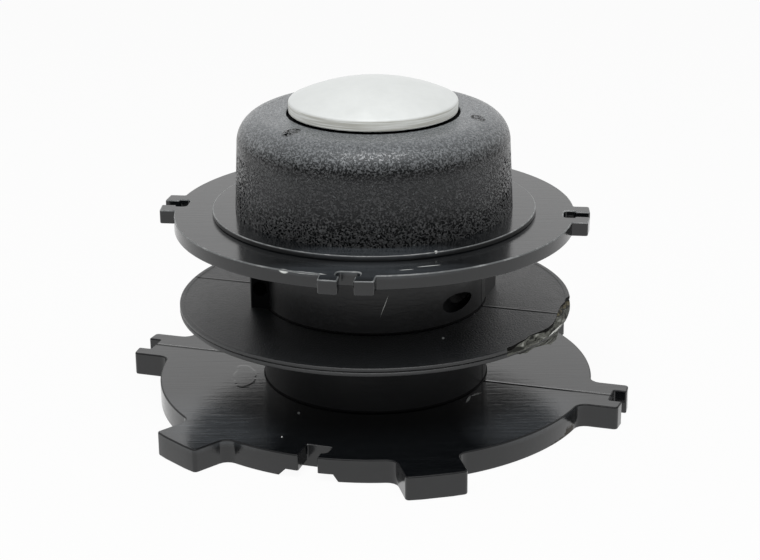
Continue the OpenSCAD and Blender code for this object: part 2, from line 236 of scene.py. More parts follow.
def makeGlossyNylon(name, f, fine=0.0, shine=0.5, scratchesAndHighlights=(), rings=(), hazes=(), scars=()):
    material, tree, place = newMaterial(name)
    # pattern scales are one over the real size in metres
    flow = addNode(tree, "ShaderNodeTexNoise", {"Scale": 1000 / f["flowSize"], "Detail": 3.0, "Roughness": 0.5}, {"Vector": place})
    scuff = addNode(tree, "ShaderNodeTexNoise", {"Scale": 1000 / f["scuffSize"], "Detail": 6.0, "Roughness": 0.62}, {"Vector": place})
    scuffMask = addNode(tree, "ShaderNodeMapRange", {"From Min": 0.55, "From Max": 0.8}, {"Value": scuff.outputs["Fac"]})
    # smears run across in long thin streaks
    long = addNode(tree, "ShaderNodeMapping", {"Scale": (1 / f["smearLength"], 1 / f["smearWidth"], 1 / f["smearWidth"])},
                   {"Vector": place})
    smear = addNode(tree, "ShaderNodeTexNoise", {"Scale": 1000, "Detail": 4.0, "Roughness": 0.65, "Distortion": 0.4},
                    {"Vector": long.outputs["Vector"]})
    smearMask = addNode(tree, "ShaderNodeMapRange", {"From Min": 0.5, "From Max": 0.8}, {"Value": smear.outputs["Fac"]})
    worn = addNode(tree, "ShaderNodeMath", {"operation": "MAXIMUM"}, {0: scuffMask.outputs["Result"], 1: smearMask.outputs["Result"]})
    colour = addNode(tree, "ShaderNodeMix", {"data_type": "RGBA", 6: linear(f["colour"]), 7: linear(f["scuffed"])},
                     {0: worn.outputs["Value"]}).outputs[2]
    rough = addNode(tree, "ShaderNodeMapRange", {"To Min": f["roughness"], "To Max": f["roughnessScuffed"]},
                    {"Value": worn.outputs["Value"]}).outputs["Result"]
    # the flash runs along the turned X axis, below the upper flange
    turned = addNode(tree, "ShaderNodeMapping", {"Rotation": (0, 0, -partingTurn)}, {"Vector": place})
    split = addNode(tree, "ShaderNodeSeparateXYZ", links={"Vector": turned.outputs["Vector"]})
    aside = addNode(tree, "ShaderNodeMath", {"operation": "ABSOLUTE"}, {0: split.outputs["Y"]})
    ridge = addNode(tree, "ShaderNodeMapRange", {"From Min": 0.0, "From Max": f["flashWidth"] * mm, "To Min": 1.0, "To Max": 0.0},
                    {"Value": aside.outputs["Value"]})
    below = addNode(tree, "ShaderNodeMath", {"operation": "LESS_THAN", 1: f["flashTop"] * mm}, {0: split.outputs["Z"]})
    flash = addNode(tree, "ShaderNodeMath", {"operation": "MULTIPLY"}, {0: ridge.outputs["Result"], 1: below.outputs["Value"]})
    # grime has settled along the flash
    core = addNode(tree, "ShaderNodeMapRange", {"From Min": f["flashCore"] * mm * 0.4, "From Max": f["flashCore"] * mm, "To Min": 1.0, "To Max": 0.0},
                   {"Value": aside.outputs["Value"]})
    grime = addNode(tree, "ShaderNodeMath", {"operation": "MULTIPLY"}, {0: core.outputs["Result"], 1: below.outputs["Value"]})
    colour = addNode(tree, "ShaderNodeMix", {"data_type": "RGBA", 7: linear("#060607")}, {0: grime.outputs["Value"], 6: colour}).outputs[2]
    rough = addNode(tree, "ShaderNodeMapRange", {"To Max": 0.9}, {"Value": grime.outputs["Value"], "To Min": rough}).outputs["Result"]
    flashBump = addNode(tree, "ShaderNodeBump", {"Strength": 1.0, "Distance": f["flashHeight"] * mm}, {"Height": flash.outputs["Value"]})
    normal = addNode(tree, "ShaderNodeBump", {"Strength": 0.5, "Distance": 0.03 * mm},
                     {"Height": flow.outputs["Fac"], "Normal": flashBump.outputs["Normal"]})
    normal = addNode(tree, "ShaderNodeBump", {"Strength": 1.0, "Distance": f["smearHeight"] * mm},
                     {"Height": smear.outputs["Fac"], "Normal": normal.outputs["Normal"]})
    if fine:
        # fine spark-eroded grain of about 0.25 mm, drawn a little coarser so that it shows
        grain = addNode(tree, "ShaderNodeTexNoise", {"Scale": 1000 / 0.42, "Detail": 3.0, "Roughness": 0.6}, {"Vector": place})
        normal = addNode(tree, "ShaderNodeBump", {"Strength": fine, "Distance": 0.11 * mm},
                         {"Height": grain.outputs["Fac"], "Normal": normal.outputs["Normal"]})
    if rings:
        # a shallow uneven ring, as a wiped drop leaves it
        wobble = addNode(tree, "ShaderNodeTexNoise", {"Scale": 1000 / 3.0, "Detail": 2.0}, {"Vector": place})
        wobbled = addNode(tree, "ShaderNodeVectorMath", {"operation": "MULTIPLY_ADD", 1: (1.6 * mm, 3.2 * mm, 0)},
                          {0: wobble.outputs["Color"], 2: place})
        drop = addNode(tree, "ShaderNodeMapRange", {"interpolation_type": "SMOOTHSTEP", "From Min": 0.06, "From Max": 0.22},
                       {"Value": spotMask(tree, wobbled.outputs["Vector"], rings)})
        normal = addNode(tree, "ShaderNodeBump", {"Strength": 1.0, "Distance": 0.05 * mm},
                         {"Height": drop.outputs["Result"], "Normal": normal.outputs["Normal"]})
    if hazes:
        # paler patches, strongest where the smears run: partly rubbed wear, partly painted reflection
        veil = addNode(tree, "ShaderNodeMapRange", {"From Min": 0.0, "From Max": 0.6}, {"Value": spotMask(tree, place, hazes)})
        patchy = addNode(tree, "ShaderNodeMapRange", {"From Min": 0.3, "From Max": 0.7, "To Min": 0.35}, {"Value": smear.outputs["Fac"]})
        rubbedAndSheen = addNode(tree, "ShaderNodeMath", {"operation": "MULTIPLY"}, {0: veil.outputs["Result"], 1: patchy.outputs["Result"]})
        colour = addNode(tree, "ShaderNodeMix", {"data_type": "RGBA", 7: linear(f["rubbedAndSheen"])},
                         {0: rubbedAndSheen.outputs["Value"], 6: colour}).outputs[2]
    if scars:
        # a bruised edge with brown dirt in its cracks
        chips = addNode(tree, "ShaderNodeTexNoise", {"Scale": 1000 / 0.6, "Detail": 2.0, "Roughness": 0.5}, {"Vector": place})
        cracks = addNode(tree, "ShaderNodeMath", {"operation": "MULTIPLY"}, {0: spotMask(tree, place, scars), 1: chips.outputs["Fac"]})
        dirty = addNode(tree, "ShaderNodeMapRange", {"interpolation_type": "SMOOTHSTEP", "From Min": 0.2, "From Max": 0.28},
                        {"Value": cracks.outputs["Value"]})
        colour = addNode(tree, "ShaderNodeMix", {"data_type": "RGBA", 7: linear(f["dirt"])},
                         {0: dirty.outputs["Result"], 6: colour}).outputs[2]
        dull = addNode(tree, "ShaderNodeMapRange", {"To Min": shine, "To Max": 0.05}, {"Value": dirty.outputs["Result"]})
    if scratchesAndHighlights:
        # scratches painted near-white, and some marks that are painted highlights in the same colour
        broken = addNode(tree, "ShaderNodeMath", {"operation": "MULTIPLY"},
                         {0: spotMask(tree, place, scratchesAndHighlights), 1: scuff.outputs["Fac"]})
        bare = addNode(tree, "ShaderNodeMapRange", {"interpolation_type": "SMOOTHSTEP", "From Min": 0.04, "From Max": 0.2},
                       {"Value": broken.outputs["Value"]})
        colour = addNode(tree, "ShaderNodeMix", {"data_type": "RGBA", 7: linear(f["scratchedAndHighlight"])},
                         {0: bare.outputs["Result"], 6: colour}).outputs[2]
        rough = addNode(tree, "ShaderNodeMapRange", {"To Max": 0.6}, {"Value": bare.outputs["Result"], "To Min": rough}).outputs["Result"]
    shader = addNode(tree, "ShaderNodeBsdfPrincipled", {"IOR": f["ior"], "Specular IOR Level": shine},
                     {"Base Color": colour, "Roughness": rough, "Normal": normal.outputs["Normal"]})
    if scars:
        tree.links.new(dull.outputs["Result"], shader.inputs["Specular IOR Level"])
    finishMaterial(tree, shader)
    return material


# The same nylon where it tore: pale drawn fibres that follow the rim, dark cracks between them, earth-brown dirt
# in the hollows, no gloss.
tornNylon = {"colour": "#60615b", "pale": "#acada7", "dirt": "#6c654e", "dark": "#0e0e0c", "roughness": 0.6, "fibreLength": 4.0,
             "fibreWidth": 0.34, "rim": 37.0}


def makeTornNylon(name, f, dirtSpots=(), paleSpots=(), shine=0.12):
    material, tree, place = newMaterial(name)
    # a direction from the axis stands for the way round the rim, the distance from it for the way across
    flat = addNode(tree, "ShaderNodeVectorMath", {"operation": "MULTIPLY", 1: (1, 1, 0)}, {0: place})
    outward = addNode(tree, "ShaderNodeVectorMath", {"operation": "LENGTH"}, {0: flat.outputs["Vector"]})
    way = addNode(tree, "ShaderNodeVectorMath", {"operation": "NORMALIZE"}, {0: flat.outputs["Vector"]})
    split = addNode(tree, "ShaderNodeSeparateXYZ", links={"Vector": place})
    across = addNode(tree, "ShaderNodeMath", {"operation": "ADD"}, {0: outward.outputs["Value"], 1: split.outputs["Z"]})
    finer = addNode(tree, "ShaderNodeMath", {"operation": "MULTIPLY", 1: 1000 / f["fibreWidth"]}, {0: across.outputs["Value"]})
    lift = addNode(tree, "ShaderNodeCombineXYZ", links={"Z": finer.outputs["Value"]})
    along = f["rim"] / f["fibreLength"]
    grid = addNode(tree, "ShaderNodeVectorMath", {"operation": "MULTIPLY_ADD", 1: (along, along, 0)},
                   {0: way.outputs["Vector"], 2: lift.outputs["Vector"]})
    fibres = addNode(tree, "ShaderNodeTexNoise", {"Scale": 1.0, "Detail": 4.0, "Roughness": 0.6, "Distortion": 0.8},
                     {"Vector": grid.outputs["Vector"]})
    paleMask = addNode(tree, "ShaderNodeMapRange", {"From Min": 0.52, "From Max": 0.7}, {"Value": fibres.outputs["Fac"]})
    darkMask = addNode(tree, "ShaderNodeMapRange", {"From Min": 0.49, "From Max": 0.41}, {"Value": fibres.outputs["Fac"]})
    colour = addNode(tree, "ShaderNodeMix", {"data_type": "RGBA", 6: linear(f["colour"]), 7: linear(f["pale"])},
                     {0: paleMask.outputs["Result"]}).outputs[2]
    if dirtSpots:
        dirtMask = addNode(tree, "ShaderNodeMapRange", {"interpolation_type": "SMOOTHSTEP", "From Min": 0.1, "From Max": 0.4},
                           {"Value": spotMask(tree, place, dirtSpots)})
        colour = addNode(tree, "ShaderNodeMix", {"data_type": "RGBA", 7: linear(f["dirt"])},
                         {0: dirtMask.outputs["Result"], 6: colour}).outputs[2]
        # each hollow has a dark outline
        begins = addNode(tree, "ShaderNodeMapRange", {"From Min": 0.0, "From Max": 0.08}, {"Value": spotMask(tree, place, dirtSpots)})
        ends = addNode(tree, "ShaderNodeMapRange", {"From Min": 0.34, "From Max": 0.18}, {"Value": spotMask(tree, place, dirtSpots)})
        outline = addNode(tree, "ShaderNodeMath", {"operation": "MULTIPLY"}, {0: begins.outputs["Result"], 1: ends.outputs["Result"]})
        darkMask = addNode(tree, "ShaderNodeMath", {"operation": "MAXIMUM"}, {0: darkMask.outputs["Result"], 1: outline.outputs["Value"]})
        darkMask = addNode(tree, "ShaderNodeMapRange", {"To Max": 0.9}, {"Value": darkMask.outputs["Value"]})
    colour = addNode(tree, "ShaderNodeMix", {"data_type": "RGBA", 7: linear(f["dark"])},
                     {0: darkMask.outputs["Result"], 6: colour}).outputs[2]
    if paleSpots:
        bare = addNode(tree, "ShaderNodeMapRange", {"From Min": 0.1, "From Max": 0.4}, {"Value": spotMask(tree, place, paleSpots)})
        colour = addNode(tree, "ShaderNodeMix", {"data_type": "RGBA", 7: linear("#e4e5e0")},
                         {0: bare.outputs["Result"], 6: colour}).outputs[2]
    bump = addNode(tree, "ShaderNodeBump", {"Strength": 1.0, "Distance": 0.3 * mm}, {"Height": fibres.outputs["Fac"]})
    shader = addNode(tree, "ShaderNodeBsdfPrincipled", {"Roughness": f["roughness"], "IOR": 1.53, "Specular IOR Level": shine},
                     {"Base Color": colour, "Normal": bump.outputs["Normal"]})
    finishMaterial(tree, shader)
    return material


# Nylon moulded in a spark-eroded cavity: crinkled grains of about half a millimetre with pits between them that are
# painted dark as painted shade, flatter on the wall than on the shoulder and at the foot. The shoulder's grains are
# painted pale: rubbed by the ground, and a painted highlight on the top. Sparse pale specks are painted glints.
knobNylon = {"pitShade": "#070809", "crown": "#131619", "rubbedAndSheen": "#7f8386", "glint": "#54585a", "roughness": 0.25, "ior": 1.58,
             "grainSize": 0.38, "grainDepth": 0.19, "sideFrom": 14.0, "sideTo": 24.0, "sideRelief": 1.0, "sideRubbed": 0.12, "glintSize": 0.45, "pitShine": 0.0, "crownShine": 0.5, "footZ": 38.8, "topZ": 57.1}
# from the foot to the crown, as shares of the height: how deep the pits are and how dark their painted shade, and how
# pale the grains are painted, as rubbing and painted highlight
knobRelief = [(0.0, 1.0), (0.18, 0.9), (0.34, 0.58), (0.5, 0.4), (0.63, 0.4), (0.75, 0.9), (0.86, 0.6), (1.0, 0.4)]
knobRubbingAndHighlight = [(0.0, 0.0), (0.73, 0.0), (0.85, 0.82), (1.0, 1.0)]


def heightRamp(tree, share, stops):
    node = addNode(tree, "ShaderNodeValToRGB", links={"Fac": share})
    ramp = node.color_ramp
    for extra in stops[2:]:
        ramp.elements.new(1.0)
    for (at, level), stop in zip(stops, ramp.elements):
        stop.position = at
        stop.color = (level, level, level, 1)
    return node.outputs["Color"]


def makeKnobNylon(name, f, dents):
    material, tree, place = newMaterial(name)
    grain = addNode(tree, "ShaderNodeTexNoise", {"Scale": 1000 / f["grainSize"], "Detail": 2.0, "Roughness": 0.5, "Distortion": 0.8},
                    {"Vector": place})
    crown = addNode(tree, "ShaderNodeMapRange", {"interpolation_type": "SMOOTHSTEP", "From Min": 0.43, "From Max": 0.57},
                    {"Value": grain.outputs["Fac"]})
    between = addNode(tree, "ShaderNodeMapRange", {"interpolation_type": "SMOOTHSTEP", "From Min": 0.57, "From Max": 0.43},
                      {"Value": grain.outputs["Fac"]})
    split = addNode(tree, "ShaderNodeSeparateXYZ", links={"Vector": place})
    share = addNode(tree, "ShaderNodeMapRange", {"From Min": f["footZ"] * mm, "From Max": f["topZ"] * mm}, {"Value": split.outputs["Z"]})
    # the wall's two sides are rougher than its front and a little grey, and the dents are rough all over
    aside = addNode(tree, "ShaderNodeMath", {"operation": "ABSOLUTE"}, {0: split.outputs["X"]})
    flank = addNode(tree, "ShaderNodeMapRange", {"From Min": f["sideFrom"] * mm, "From Max": f["sideTo"] * mm, "To Max": f["sideRelief"]},
                    {"Value": aside.outputs["Value"]})
    lower = addNode(tree, "ShaderNodeMapRange", {"From Min": 0.6, "From Max": 0.8, "To Min": 1.0, "To Max": 0.5}, {"Value": share.outputs["Result"]})
    flank = addNode(tree, "ShaderNodeMath", {"operation": "MULTIPLY"}, {0: flank.outputs["Result"], 1: lower.outputs["Result"]})
    dent = addNode(tree, "ShaderNodeMapRange", {"From Min": 0.1, "From Max": 0.35}, {"Value": spotMask(tree, place, dents)})
    rough = addNode(tree, "ShaderNodeMath", {"operation": "MAXIMUM"}, {0: flank.outputs["Value"], 1: dent.outputs["Result"]})
    relief = addNode(tree, "ShaderNodeMath", {"operation": "MAXIMUM"},
                     {0: heightRamp(tree, share.outputs["Result"], knobRelief), 1: rough.outputs["Value"]}).outputs["Value"]
    kept = addNode(tree, "ShaderNodeMapRange", {"To Min": 1.0, "To Max": 0.5}, {"Value": dent.outputs["Result"]})
    rubbingAndHighlight = addNode(tree, "ShaderNodeMath", {"operation": "MULTIPLY"},
                      {0: heightRamp(tree, share.outputs["Result"], knobRubbingAndHighlight), 1: kept.outputs["Result"]})
    rubbingAndHighlight = addNode(tree, "ShaderNodeMath", {"operation": "MULTIPLY_ADD", 1: f["sideRubbed"]},
                      {0: flank.outputs["Value"], 2: rubbingAndHighlight.outputs["Value"]}).outputs["Value"]
    height = addNode(tree, "ShaderNodeMath", {"operation": "MULTIPLY"}, {0: crown.outputs["Result"], 1: relief})
    bump = addNode(tree, "ShaderNodeBump", {"Strength": 1.0, "Distance": f["grainDepth"] * mm}, {"Height": height.outputs["Value"]})
    # the pits are painted near-black: painted shade in the grain's hollows, deepest at the foot and in the dents
    pitShade = addNode(tree, "ShaderNodeMath", {"operation": "MULTIPLY"}, {0: between.outputs["Result"], 1: relief})
    skin = addNode(tree, "ShaderNodeMix", {"data_type": "RGBA", 6: linear(f["crown"]), 7: linear(f["rubbedAndSheen"])}, {0: rubbingAndHighlight})
    # sparse pale specks: painted glints on the grain
    glintNoise = addNode(tree, "ShaderNodeTexNoise", {"Scale": 1000 / f["glintSize"], "Detail": 1.0, "Roughness": 0.5}, {"Vector": place})
    glintMask = addNode(tree, "ShaderNodeMapRange", {"interpolation_type": "SMOOTHSTEP", "From Min": 0.66, "From Max": 0.74},
                        {"Value": glintNoise.outputs["Fac"]})
    glinted = addNode(tree, "ShaderNodeMix", {"data_type": "RGBA", 7: linear(f["glint"])},
                       {0: glintMask.outputs["Result"], 6: skin.outputs[2]})
    colour = addNode(tree, "ShaderNodeMix", {"data_type": "RGBA", 7: linear(f["pitShade"])},
                     {0: pitShade.outputs["Value"], 6: glinted.outputs[2]})
    # the pits hardly shine, the crowns do
    shine = addNode(tree, "ShaderNodeMapRange", {"To Min": f["crownShine"], "To Max": f["pitShine"]}, {"Value": pitShade.outputs["Value"]})
    shader = addNode(tree, "ShaderNodeBsdfPrincipled", {"Roughness": f["roughness"], "IOR": f["ior"]},
                     {"Base Color": colour.outputs[2], "Specular IOR Level": shine.outputs["Result"], "Normal": bump.outputs["Normal"]})
    finishMaterial(tree, shader)
    return material


# Aluminium, tumbled and left bare: pale, fine matt, cloudy, with a few faint specks. The rim was turned first, so thin
# level lines run round it, paler and darker by turns, drawn coarser than the lathe's feed. The rim is also painted
# paler than the top, a painted highlight.
tumbledAluminium = {"colour": "#d4d6d5", "cloud": "#cbcdcc", "roughness": 0.76, "cloudSize": 5.0, "grainSize": 0.35}
turnedRimWithHighlight = dict(tumbledAluminium, colour="#e4e6e4", cloud="#d8d9d6", line="#c4c4be", lineGap=0.22, lineLength=9.0)


def makeTumbledAluminium(name, f):
    material, tree, place = newMaterial(name)
    cloud = addNode(tree, "ShaderNodeTexNoise", {"Scale": 1000 / f["cloudSize"], "Detail": 4.0, "Roughness": 0.6}, {"Vector": place})
    grain = addNode(tree, "ShaderNodeTexNoise", {"Scale": 1000 / f["grainSize"], "Detail": 2.0, "Roughness": 0.6}, {"Vector": place})
    colour = addNode(tree, "ShaderNodeMix", {"data_type": "RGBA", 6: linear(f["colour"]), 7: linear(f["cloud"])},
                     {0: cloud.outputs["Fac"]})
    if "line" in f:
        level = addNode(tree, "ShaderNodeMapping", {"Scale": (1 / f["lineLength"], 1 / f["lineLength"], 1 / f["lineGap"])},
                        {"Vector": place})
        lines = addNode(tree, "ShaderNodeTexNoise", {"Scale": 1000, "Detail": 2.0, "Roughness": 0.5},
                        {"Vector": level.outputs["Vector"]})
        dark = addNode(tree, "ShaderNodeMapRange", {"From Min": 0.4, "From Max": 0.64}, {"Value": lines.outputs["Fac"]})
        colour = addNode(tree, "ShaderNodeMix", {"data_type": "RGBA", 7: linear(f["line"])},
                         {0: dark.outputs["Result"], 6: colour.outputs[2]})
    rough = addNode(tree, "ShaderNodeMapRange", {"To Min": f["roughness"] - 0.08, "To Max": f["roughness"] + 0.1},
                    {"Value": cloud.outputs["Fac"]})
    bump = addNode(tree, "ShaderNodeBump", {"Strength": 0.35, "Distance": 0.02 * mm}, {"Height": grain.outputs["Fac"]})
    shader = addNode(tree, "ShaderNodeBsdfPrincipled", {"Metallic": 1.0},
                     {"Base Color": colour.outputs[2], "Roughness": rough.outputs["Result"], "Normal": bump.outputs["Normal"]})
    finishMaterial(tree, shader)
    return material


# wear seen on the real one: scratches, nicks and specks, then the ring of a drop. The second top mark, a pale stripe
# along the upper flange's front edge, is a painted highlight.
topScratchesAndHighlight = [((-15.9, -34.9, 37.7), (1.2, 0.6, 0.7), 0, -25), ((-11.8, -36.3, 37.75), (4.4, 0.36, 0.3), 0, -18),
                ((9.6, -33.4, 37.8), (2.6, 0.15, 0.3), 0, 14), ((5.6, -35.3, 37.8), (1.6, 0.11, 0.3), 0, 10),
                ((11.0, -28.6, 38.8), (0.32, 0.65, 0.4), 0, 0)]
baseScratches = [((-14.4, -21.4, 4.6), (0.3, 0.7, 0.3), 0, 0),
                 ((-17.1, -32.1, 4.6), (0.16, 0.36, 0.2), 0, 0), ((17.6, -15.6, 4.6), (0.32, 2.4, 0.3), 0, -16),
                 ((19.2, -13.2, 4.6), (1.8, 0.34, 0.3), 0, 38)]
# the first is a scratch; the second, a pale spot by the right passage's mouth, is a painted highlight
drumScratchesAndHighlight = [((1.7, -20.85, 25.7), (0.1, 0.8, 3.6), 20, 4), ((18.9, -11.0, 20.2), (0.3, 0.6, 0.4), 0, 0)]
dropRings = [((-24.9, -1.6, 4.6), (2.5, 6.4, 2.0), 0, 4)]
rimScars = [((34.6, -24.2, 0.0), (1.3, 8.0, 1.0), 0, -35), ((36.3, -21.7, 0.7), (1.4, 3.6, 2.0), 0, -31)]
# patches painted paler, partly rubbed wear and partly painted reflection: the front of the upper flange, and both front
# quarters of the toothed flange
flangeHazes = [((-2, -36.0, 37.8), (27, 5.5, 0.9), 0, 0), ((0, -29.0, 38.8), (22, 5.0, 0.9), 0, 0), ((-30, -26, 4.6), (13, 19, 1.5), 0, 20), ((28, -24, 4.6), (12, 17, 1.5), 0, -25)]
flangeGloss = makeGlossyNylon("nylon_polished_moulded", glossyNylon, scratchesAndHighlights=topScratchesAndHighlight + baseScratches, rings=dropRings,
                              hazes=flangeHazes, scars=rimScars)
webMatt = makeGlossyNylon("nylon_fine_matt_moulded", dict(glossyNylon, roughness=0.4, roughnessScuffed=0.5, smearLength=0.9,
                                                         smearWidth=0.9, smearHeight=0.03), fine=0.9,
                          scratchesAndHighlights=[((12.5, -23.1, 20.1), (0.3, 0.65, 0.3), 0, 0)])
lineRubbed = makeGlossyNylon("nylon_rubbed_by_line", dict(glossyNylon, colour="#0a0b0d", scuffed="#141618", roughness=0.3,
                                                         roughnessScuffed=0.42), shine=0.35, scratchesAndHighlights=drumScratchesAndHighlight)
lineRubbedDull = makeGlossyNylon("nylon_rubbed_dull_by_line", dict(glossyNylon, colour="#0a0b0d", scuffed="#0e1012", roughness=0.36,
                                                                  roughnessScuffed=0.5), shine=0.18)
# a near-black, rough nylon that is painted shade: it goes on the knob's seat, the line passages and the bosses' blunt
# ends, where shade falls
paintedShadeNylon = makeGlossyNylon("nylon_painted_shade_in_recess", dict(glossyNylon, colour="#08090a", scuffed="#0c0d0e", roughness=0.7,
                                                              roughnessScuffed=0.8), shine=0.04)
# edges painted pale, broken along their length: partly wear from knocks and the line, partly a painted highlight on
# their roundings
wornEdgeAndHighlight = makeGlossyNylon("nylon_edge_worn_and_painted_highlight", dict(glossyNylon, colour="#5c5f60", scuffed="#bcbebe", roughness=0.3,
                                                       roughnessScuffed=0.45, smearLength=4.0, smearWidth=4.0))
# brown lenses of dirt at the right end of the tear, and one fibre drawn white beside the shred
tearDirt = [((36.6, -4.3, 19.3), (0.95, 4.8, 8), 0, -20), ((34.6, -10.2, 19.3), (0.85, 2.9, 8), 0, -25),
            ((32.4, -14.3, 19.3), (0.8, 2.5, 8), 0, -32)]
tearPale = [((33.6, -17.2, 19.0), (0.16, 5.2, 0.9), 0, -26), ((34.6, -15.0, 18.7), (0.12, 2.4, 0.6), 0, -26)]
torn = makeTornNylon("nylon_torn", tornNylon, tearDirt, tearPale)
# the tear's steep faces, painted darker as painted shade
tearShade = makeTornNylon("nylon_torn_painted_shade", dict(tornNylon, colour="#121211", pale="#20201e", dark="#080807"), shine=0.05)
# near-black and flat: grease and dust in the narrow gaps, and painted shade there; it goes on the drums' foot fillets
# and the disc's underside and foot
gapGrimeAndShade = makeGlossyNylon("grease_dust_and_painted_shade_in_gap", dict(glossyNylon, colour="#070708", scuffed="#0b0b0b", roughness=0.7,
                                                         roughnessScuffed=0.8), shine=0.05)
knobDents = [((-14.9, -14.1, 57.0), (1.8, 3.0, 1.4), 0, -35), ((19.4, -5.5, 56.9), (1.6, 3.0, 1.4), 0, 20)]
knobGrain = makeKnobNylon("nylon_spark_textured", knobNylon, knobDents)
discMetal = makeTumbledAluminium("aluminium_tumbled", tumbledAluminium)
rimMetalWithHighlight = makeTumbledAluminium("aluminium_turned_painted_highlight", turnedRimWithHighlight)
for node, material in (("spool_body", flangeGloss), ("bump_knob", knobGrain), ("wear_disc", discMetal)):
    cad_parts[node].data.materials.clear()
    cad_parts[node].data.materials.append(material)
print("materials made")


# spool body: the toothed flange

toothed = {"radius": 42.3, "height": 4.6, "toothWidth": 11.3, "tipRadius": 49.7, "rootFillet": 1.8, "tipRounding": 0.7,
           "splitTipRounding": 0.7, "splitWidth": 5.0, "splitDepth": 2.6, "topEdge": 0.25, "bottomEdge": 0.22,
           "notchLow": -1.3, "notchHigh": 2.3, "undercut": 1.2, "notchFloor": 37.3, "headOuter": 40.2,
           "reliefRadius": 36.8, "reliefLeft": -5.2, "reliefRight": 6.2, "reliefHeight": 1.5,
           "pocketInner": 24.4, "pocketOuter": 35.6, "pocketDepth": 2.0, "pocketRib": 1.4, "pocketRibs": 12}


def toothCorners(f, split):
    half = f["toothWidth"] / 2
    root = math.sqrt(f["radius"] ** 2 - half ** 2)
    tip = math.sqrt(f["tipRadius"] ** 2 - half ** 2)
    rounding = f["splitTipRounding"] if split else f["tipRounding"]
    side = [(root, half, f["rootFillet"]), (tip, half, rounding)]
    if split:
        n = f["splitWidth"] / 2
        side += [(math.sqrt(f["tipRadius"] ** 2 - n ** 2), n, 0.35), (f["tipRadius"] - f["splitDepth"], n, 0.4)]
    else:
        side += [(*polar(f["tipRadius"], 3.2), 0)]
    return [(x, -y, rounding) for x, y, rounding in side] + side[::-1]


def notchCorners(f):
    low, high, deep = f["notchLow"], f["notchHigh"], f["notchFloor"]
    wide, outer = high + f["undercut"], f["headOuter"]
    return [(math.sqrt(f["radius"] ** 2 - low ** 2), low, 0.35), (deep, low, 0.3), (deep, wide, 0.3),
            (outer, wide, f["undercut"] - 0.05), (outer, high, 0), (math.sqrt(f["radius"] ** 2 - high ** 2), high, 0.35)]


def toothedCorners(f):
    # the arcs between the teeth start a little past the fillets
    first = math.degrees(math.asin((f["toothWidth"] / 2 + 1.1 * f["rootFillet"]) / f["radius"]))
    corners = []
    for k in range(6):
        corners += turnCorners(toothCorners(f, k % 3 == 0), 60 * k)
        angles = [60 * k + first + (60 - 2 * first) * i / 28 for i in range(29)]
        notchAt = 90 if k == 1 else 270 if k == 4 else None
        if notchAt:
            before = [a for a in angles if a < notchAt - 2.8]
            after = [a for a in angles if a > notchAt + 4.2]
            corners += [(*polar(f["radius"], a), 0) for a in before]
            corners += turnCorners(notchCorners(f), notchAt)
            corners += [(*polar(f["radius"], a), 0) for a in after]
        else:
            corners += [(*polar(f["radius"], a), 0) for a in angles]
    return corners


def makeToothedFlange(f):
    flange = makeObject("toothed_flange", drawPlate(toothedCorners(f), 0, f["height"], f["topEdge"], f["bottomEdge"]), flangeGloss)
    # cored pockets between radial ribs, and a relief under each notch
    ring = bmesh.new()
    spinProfile(ring, [(f["pocketInner"], -1), (f["pocketOuter"], -1), (f["pocketOuter"], f["pocketDepth"]),
                       (f["pocketInner"], f["pocketDepth"])], {}, steps=120)
    ribs = bmesh.new()
    for k in range(f["pocketRibs"]):
        addBlock(ribs, (f["pocketInner"] - 1, -f["pocketRib"] / 2, -2), (f["pocketOuter"] + 1, f["pocketRib"] / 2, 4),
                 math.tau * (k + 0.5) / f["pocketRibs"])
    pockets = makeObject("pockets", ring, flangeGloss)
    carve(pockets, ("DIFFERENCE", makeObject("pocket_ribs", ribs, flangeGloss)))
    reliefs = bmesh.new()
    for turn in (90, 270):
        section = [(f["reliefLeft"], -1), (f["reliefLeft"], 0), (f["reliefLeft"] + f["reliefHeight"], f["reliefHeight"]),
                   (f["reliefRight"] - 1, f["reliefHeight"]), (f["reliefRight"], 0), (f["reliefRight"], -1)]
        ends = [reliefs.verts.new((f["reliefRadius"], y, z)) for y, z in section]
        face = reliefs.faces.new(ends)
        pulled = bmesh.ops.extrude_face_region(reliefs, geom=[face])["geom"]
        outer = [g for g in pulled if isinstance(g, bmesh.types.BMVert)]
        bmesh.ops.translate(reliefs, vec=(20, 0, 0), verts=outer)
        bmesh.ops.rotate(reliefs, cent=(0, 0, 0), matrix=Matrix.Rotation(math.radians(turn), 3, "Z"), verts=ends + outer)
    bmesh.ops.recalc_face_normals(reliefs, faces=reliefs.faces)
    carve(flange, ("DIFFERENCE", pockets), ("DIFFERENCE", makeObject("reliefs", reliefs, flangeGloss)))
    return flange


# spool body: the lugged upper flange

lugged = {"radius": 38.25, "low": 35.1, "high": 37.8, "lugTip": 41.2, "pairWidth": 10.0, "slotWidth": 2.8, "headWidth": 4.3,
          "slotFloor": 36.2, "headOuter": 38.4, "turn": 10.5, "topEdge": 0.22, "bottomEdge": 0.2}


def luggedCorners(f):
    half, slot, head = f["pairWidth"] / 2, f["slotWidth"] / 2, f["headWidth"] / 2
    side = [(math.sqrt(f["radius"] ** 2 - half ** 2), half, 0.3), (math.sqrt(f["lugTip"] ** 2 - half ** 2), half, 0.4),
            (math.sqrt(f["lugTip"] ** 2 - slot ** 2), slot, 0.35), (f["headOuter"], slot, 0.3), (f["headOuter"], head, 0.35),
            (f["slotFloor"], head, 0.85)]
    pair = [(x, -y, rounding) for x, y, rounding in side] + side[::-1]
    rootAngle = math.degrees(math.asin(half / f["radius"]))
    corners = []
    for k in range(4):
        corners += turnCorners(pair, 90 * k)
        corners += [(*polar(f["radius"], 90 * k + rootAngle + (90 - 2 * rootAngle) * i / 50), 0) for i in range(1, 50)]
    return turnCorners(corners, f["turn"])


# spool body: drums, middle flange, bosses and line passages

